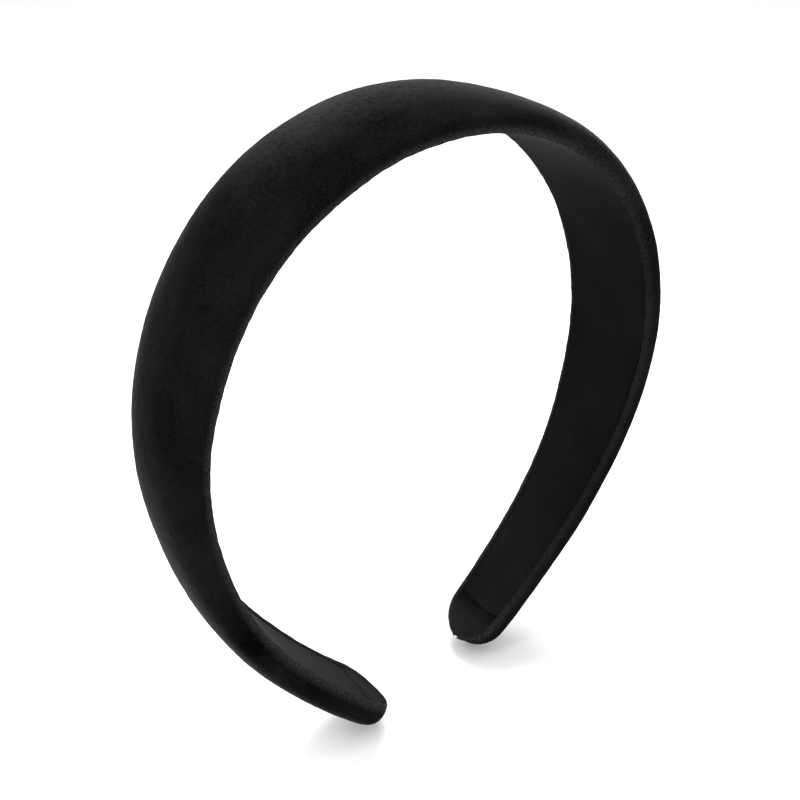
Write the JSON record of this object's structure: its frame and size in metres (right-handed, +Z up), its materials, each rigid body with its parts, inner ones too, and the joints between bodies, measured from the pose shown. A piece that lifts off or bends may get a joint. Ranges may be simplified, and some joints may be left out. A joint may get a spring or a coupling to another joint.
{
  "type": "padded headband",
  "caption": "Padded velvet headband: a springy plastic band with a foam pad, a wrapped velvet cover and a matt lining, wide over the crown and narrow at the rounded tips.",
  "frame": {"origin": "middle of the crown's inner face, the spot that rests on top of the head", "axes": "+Z up through the crown, the wearer faces -Y, +X is the wearer's left"},
  "size_m": [0.1262, 0.031, 0.1503],
  "materials": {
    "velvet": "black cut-pile velvet",
    "lining": "matt black brushed fabric",
    "core": "moulded black plastic",
    "foam": "open-cell foam",
    "tape": "adhesive film",
    "glue": "set hot-melt glue"
  },
  "bodies": {
    "crown": {"lining_crown": "lining", "lining_glue_crown": "glue", "core_crown": "core", "pad_tape_crown": "tape", "foam_pad_crown": "foam", "cover_crown": "velvet"},
    "left_arm": {"lining_left_arm": "lining", "lining_glue_left_arm": "glue", "core_left_arm": "core", "pad_tape_left_arm": "tape", "foam_pad_left_arm": "foam", "cover_left_arm": "velvet"},
    "right_arm": {"lining_right_arm": "lining", "lining_glue_right_arm": "glue", "core_right_arm": "core", "pad_tape_right_arm": "tape", "foam_pad_right_arm": "foam", "cover_right_arm": "velvet"}
  },
  "joints": [
    {"name": "left_arm_flex", "type": "hinge", "parent": "crown", "child": "left_arm", "pos_m": [0.04945, 0, -0.01827], "axis": [0, -1, 0], "range_deg": [0, 14], "stiffness_Nm_per_rad": 0.8},
    {"name": "right_arm_flex", "type": "hinge", "parent": "crown", "child": "right_arm", "pos_m": [-0.04945, 0, -0.01827], "axis": [0, 1, 0], "range_deg": [0, 14], "stiffness_Nm_per_rad": 0.8}
  ]
}
